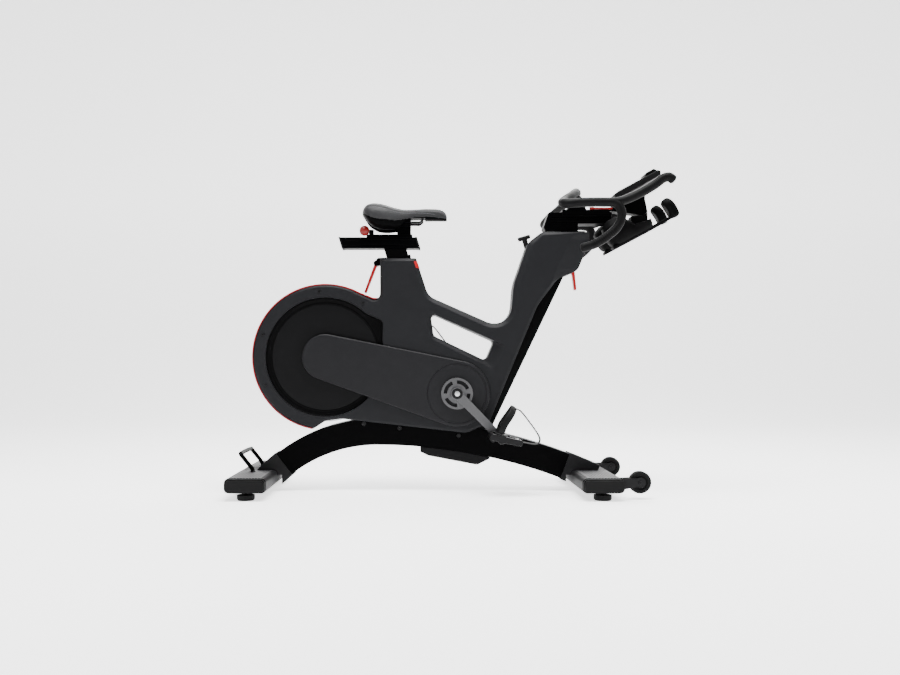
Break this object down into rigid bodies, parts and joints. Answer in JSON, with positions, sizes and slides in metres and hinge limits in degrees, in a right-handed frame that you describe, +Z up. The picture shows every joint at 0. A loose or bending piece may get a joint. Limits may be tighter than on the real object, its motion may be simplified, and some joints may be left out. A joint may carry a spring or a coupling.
{
  "type": "exercise bike",
  "caption": "Indoor cycle with an arched base beam, moulded body over a rear flywheel, magnetic brake, sliding saddle and handlebar posts.",
  "frame": {"origin": "on the floor under the middle of the cycle's bounding box", "axes": "+X forwards, +Y to the rider's left, +Z up"},
  "size_m": [1.2528, 0.512, 0.9245],
  "materials": {
    "moulded body": "fine satin grain",
    "dark cover": "fine satin grain",
    "black steel": "satin powder coat",
    "cast neck": "textured powder coat",
    "red trim": "gloss",
    "tread": "ribbed satin",
    "steel": "turned",
    "crank alloy": "satin anodised",
    "flywheel alloy": "turned",
    "pedal": "satin",
    "toe cage": "satin",
    "knob": "satin",
    "belt rubber": "matt",
    "grip": "soft matt",
    "tyre": "matt",
    "foot rubber": "matt",
    "saddle leather": "fine grain satin"
  },
  "bodies": {
    "frame": {"arch_beam": "black steel", "arch_sleeves": "cast neck", "rear_stabilizer": "cast neck", "front_stabilizer": "cast neck", "end_caps": "dark cover", "tread_plates": "tread", "lift_handle": "black steel", "seat_tube": "black steel", "front_tube": "black steel", "top_tube": "black steel", "bottom_bracket": "black steel", "bearings": "steel", "flywheel_mounts": "black steel", "right_shell": "moulded body", "right_front_shell": "moulded body", "left_shell": "moulded body", "left_front_shell": "moulded body", "side_dishes": "dark cover", "belt_guard": "dark cover", "left_cover": "dark cover", "rim_trim": "red trim", "belly_cover": "dark cover", "post_collars": "tread", "drive_belt": "belt rubber", "body_screws": "steel"},
    "seat_stem": {"seat_post": "black steel", "seat_rail": "black steel", "rail_caps": "dark cover"},
    "saddle": {"seat_carriage": "black steel", "saddle_clamp": "black steel", "saddle_rails": "steel", "saddle_base": "dark cover", "saddle_cover": "saddle leather"},
    "seat_height_lever": {"seat_height_lever": "red trim"},
    "seat_slide_lever": {"seat_slide_lever": "red trim"},
    "bar_stem": {"bar_post": "black steel", "bar_rail": "black steel"},
    "cockpit": {"bar_carriage": "black steel", "handlebar": "grip", "console": "dark cover", "bottle_cradles": "dark cover"},
    "bar_height_lever": {"bar_height_lever": "red trim"},
    "bar_slide_lever": {"bar_slide_lever": "red trim"},
    "brake_plunger": {"brake_plunger": "steel"},
    "resistance_knob": {"resistance_knob": "knob"},
    "magnet_carrier": {"magnet_carrier": "black steel"},
    "flywheel": {"flywheel": "flywheel alloy", "flywheel_axle": "steel"},
    "crank": {"crank_pulley": "steel", "crank_arms": "crank alloy"},
    "right_pedal": {"right_pedal": "pedal", "right_toe_cage": "toe cage"},
    "left_pedal": {"left_pedal": "pedal", "left_toe_cage": "toe cage"},
    "right_wheel": {"right_wheel": "tyre"},
    "left_wheel": {"left_wheel": "tyre"},
    "rear_right_foot": {"rear_right_foot": "foot rubber"},
    "rear_left_foot": {"rear_left_foot": "foot rubber"},
    "front_right_foot": {"front_right_foot": "foot rubber"},
    "front_left_foot": {"front_left_foot": "foot rubber"}
  },
  "joints": [
    {"name": "seat_height", "type": "slide", "parent": "frame", "child": "seat_stem", "axis": [-0.2924, 0, 0.9563], "range_m": [0, 0.12]},
    {"name": "seat_fore_aft", "type": "slide", "parent": "seat_stem", "child": "saddle", "axis": [1, 0, 0], "range_m": [-0.06, 0.007]},
    {"name": "seat_height_release", "type": "hinge", "parent": "frame", "child": "seat_height_lever", "pos_m": [-0.234, 0, 0.654], "axis": [0, 1, 0], "range_deg": [0, 60]},
    {"name": "seat_slide_release", "type": "hinge", "parent": "saddle", "child": "seat_slide_lever", "pos_m": [-0.248, -0.012, 0.74], "axis": [0, 0, 1], "range_deg": [0, 38]},
    {"name": "bar_height", "type": "slide", "parent": "frame", "child": "bar_stem", "axis": [0.4305, 0, 0.9026], "range_m": [0, 0.18]},
    {"name": "bar_fore_aft", "type": "slide", "parent": "bar_stem", "child": "cockpit", "axis": [1, 0, 0], "range_m": [-0.012, 0.05]},
    {"name": "bar_height_release", "type": "hinge", "parent": "frame", "child": "bar_height_lever", "pos_m": [0.334, 0, 0.64], "axis": [0, 1, 0], "range_deg": [-50, 0]},
    {"name": "bar_slide_release", "type": "hinge", "parent": "cockpit", "child": "bar_slide_lever", "pos_m": [0.386, -0.024, 0.806], "axis": [0, 0, 1], "range_deg": [-70, 0]},
    {"name": "brake_press", "type": "slide", "parent": "frame", "child": "brake_plunger", "axis": [0.284, 0, -0.9588], "range_m": [0, 0.006], "stiffness_N_per_m": 1500, "springref_m": -0.002},
    {"name": "resistance_turn", "type": "hinge", "parent": "brake_plunger", "child": "resistance_knob", "pos_m": [0.1996, 0, 0.708], "axis": [-0.284, 0, 0.9588], "range_deg": [0, 300]},
    {"name": "magnet_swing", "type": "hinge", "parent": "frame", "child": "magnet_carrier", "pos_m": [-0.182, 0, 0.436], "axis": [0, 1, 0], "range_deg": [-8, 0]},
    {"name": "flywheel_spin", "type": "hinge", "parent": "frame", "child": "flywheel", "pos_m": [-0.3785, 0, 0.383], "axis": [0, 1, 0], "continuous": true},
    {"name": "crank_spin", "type": "hinge", "parent": "frame", "child": "crank", "pos_m": [-0.0025, 0, 0.279], "axis": [0, 1, 0], "continuous": true},
    {"name": "right_pedal_spin", "type": "hinge", "parent": "crank", "child": "right_pedal", "pos_m": [0.11623, -0.128, 0.15733], "axis": [0, 1, 0], "continuous": true},
    {"name": "left_pedal_spin", "type": "hinge", "parent": "crank", "child": "left_pedal", "pos_m": [-0.12123, 0.128, 0.40067], "axis": [0, 1, 0], "continuous": true},
    {"name": "right_wheel_spin", "type": "hinge", "parent": "frame", "child": "right_wheel", "pos_m": [0.483, -0.2, 0.045], "axis": [0, 1, 0], "continuous": true},
    {"name": "left_wheel_spin", "type": "hinge", "parent": "frame", "child": "left_wheel", "pos_m": [0.483, 0.2, 0.045], "axis": [0, 1, 0], "continuous": true},
    {"name": "rear_right_foot_level", "type": "slide", "parent": "frame", "child": "rear_right_foot", "axis": [0, 0, -1], "range_m": [0, 0.012]},
    {"name": "rear_left_foot_level", "type": "slide", "parent": "frame", "child": "rear_left_foot", "axis": [0, 0, -1], "range_m": [0, 0.012]},
    {"name": "front_right_foot_level", "type": "slide", "parent": "frame", "child": "front_right_foot", "axis": [0, 0, -1], "range_m": [0, 0.012]},
    {"name": "front_left_foot_level", "type": "slide", "parent": "frame", "child": "front_left_foot", "axis": [0, 0, -1], "range_m": [0, 0.012]}
  ],
  "couplings": [
    {"joint": "crank_spin", "follows": "flywheel_spin", "ratio": 0.28},
    {"joint": "resistance_turn", "follows": "magnet_swing", "ratio": -37.5}
  ]
}
